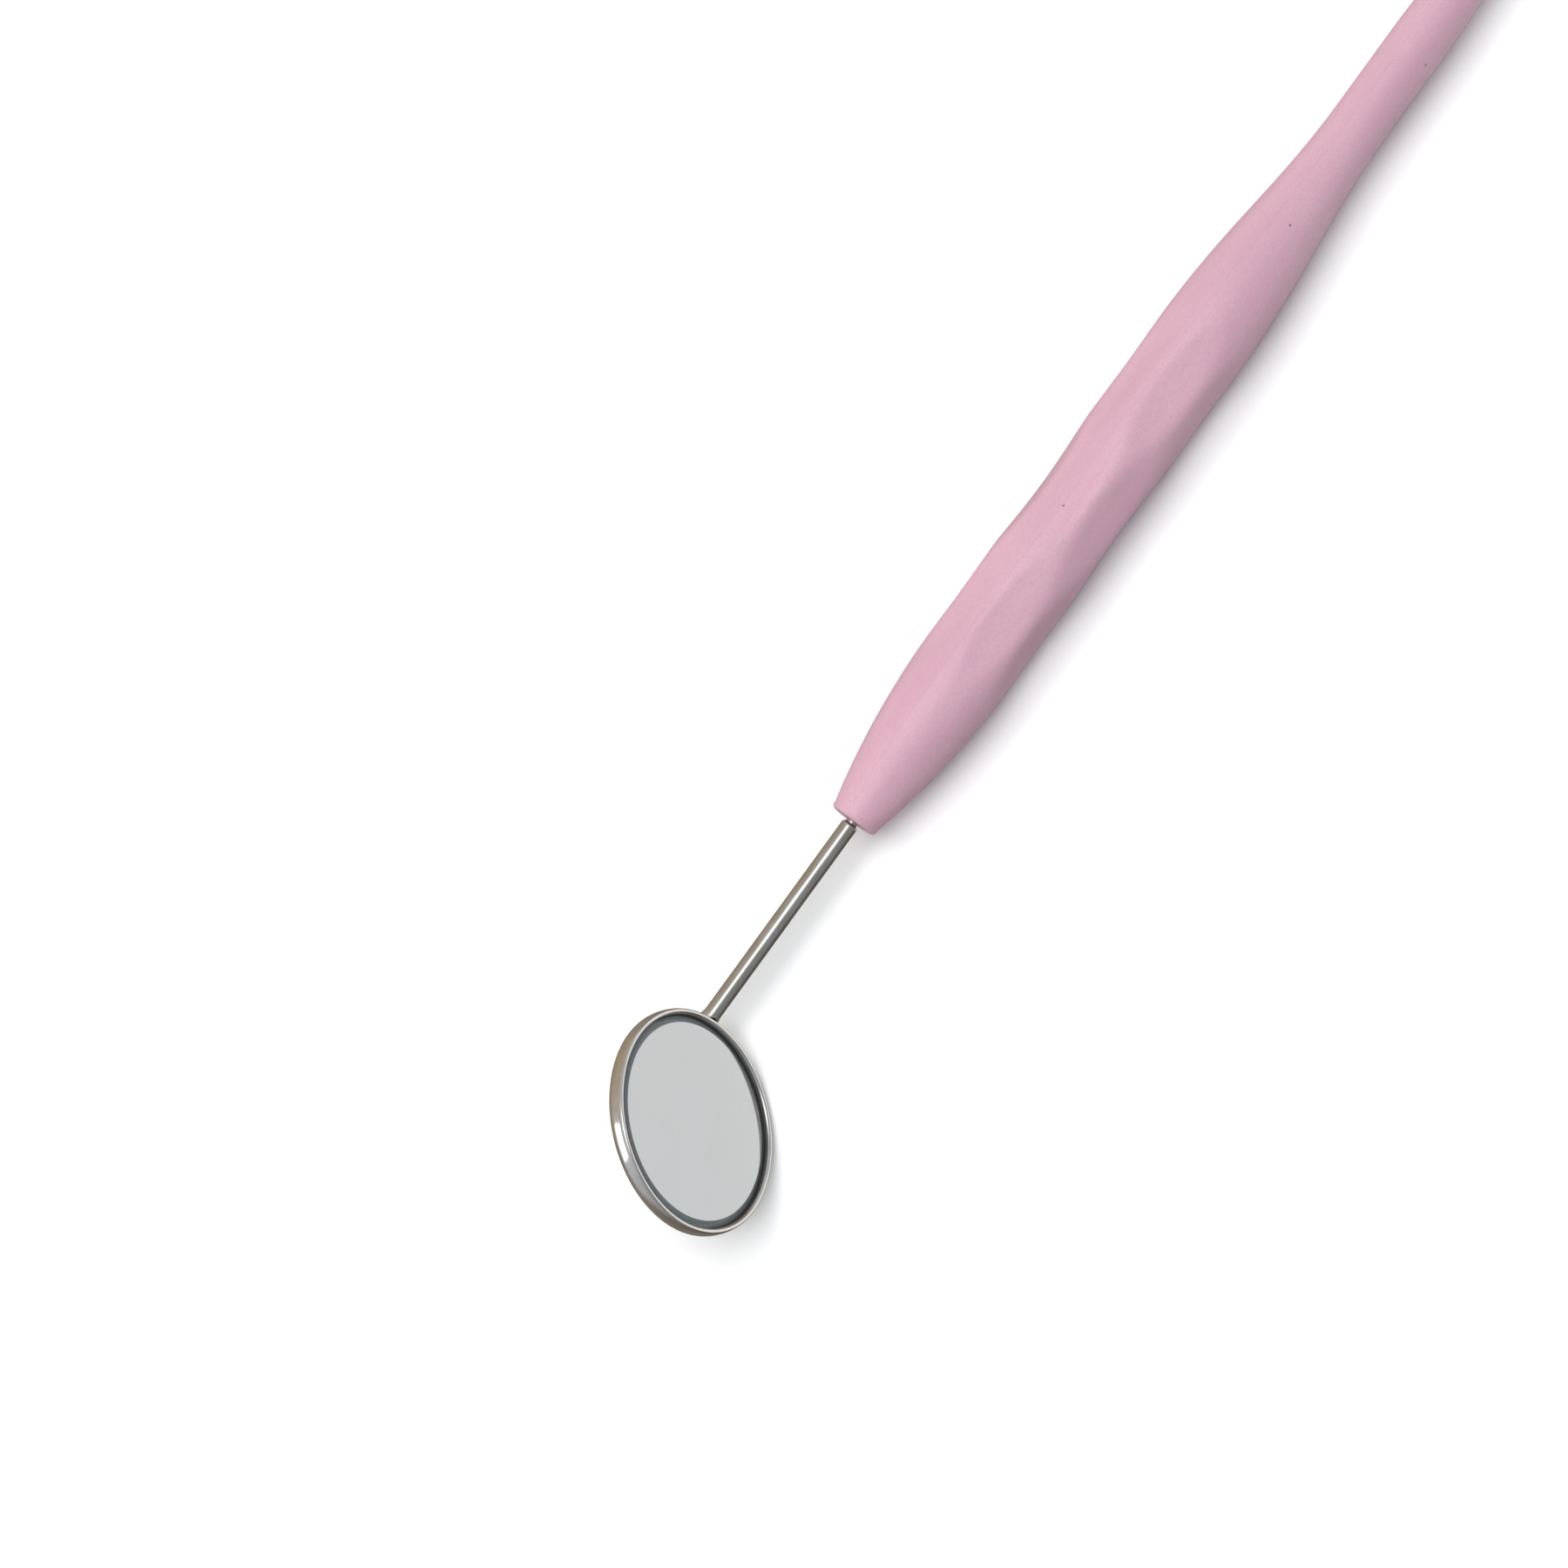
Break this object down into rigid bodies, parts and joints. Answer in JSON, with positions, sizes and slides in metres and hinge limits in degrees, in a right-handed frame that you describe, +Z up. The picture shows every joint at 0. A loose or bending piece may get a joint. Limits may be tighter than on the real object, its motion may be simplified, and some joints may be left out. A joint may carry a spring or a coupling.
{
  "type": "mouth mirror",
  "caption": "Dental mouth mirror: round glass mirror in a steel cup, tilted on a thin steel stem that screws into a scooped plastic handle.",
  "frame": {"origin": "middle of the flat tail face of the handle, on the handle's axis", "axes": "+X along the handle from its tail to the mirror; +Z up as the mirror lies on a table, on its grip and the back edge of the cup; the head leans to the +Y side"},
  "size_m": [0.1701, 0.0215, 0.0213],
  "materials": {
    "handle_plastic": "pink satin moulded plastic",
    "insert_brass": "turned",
    "stem_steel": "drawn and polished stainless rod",
    "solder_silver": "silver solder",
    "cup_steel": "polished stainless sheet",
    "adhesive": "cured adhesive",
    "mirror_glass": "ground and bevelled glass",
    "mirror_coating": "front-surface reflecting layer",
    "rim_seal": "dark sealing compound"
  },
  "bodies": {
    "handle": {"handle": "handle_plastic"},
    "insert": {"thread_insert": "insert_brass"},
    "head": {"stem": "stem_steel", "solder_joint": "solder_silver", "mirror_cup": "cup_steel", "glass_adhesive": "adhesive", "mirror_glass": "mirror_glass", "reflective_coating": "mirror_coating", "rim_seal": "rim_seal"}
  },
  "joints": [
    {"name": "head_unscrew_turn", "type": "hinge", "parent": "handle", "child": "insert", "pos_m": [0.1236, 0, 0], "axis": [1, 0, 0], "range_deg": [0, 6120]},
    {"name": "head_unscrew_travel", "type": "slide", "parent": "insert", "child": "head", "axis": [1, 0, 0], "range_m": [0, 0.00596]}
  ],
  "couplings": [
    {"joint": "head_unscrew_travel", "follows": "head_unscrew_turn", "m_per_rad": 0.000055704}
  ]
}
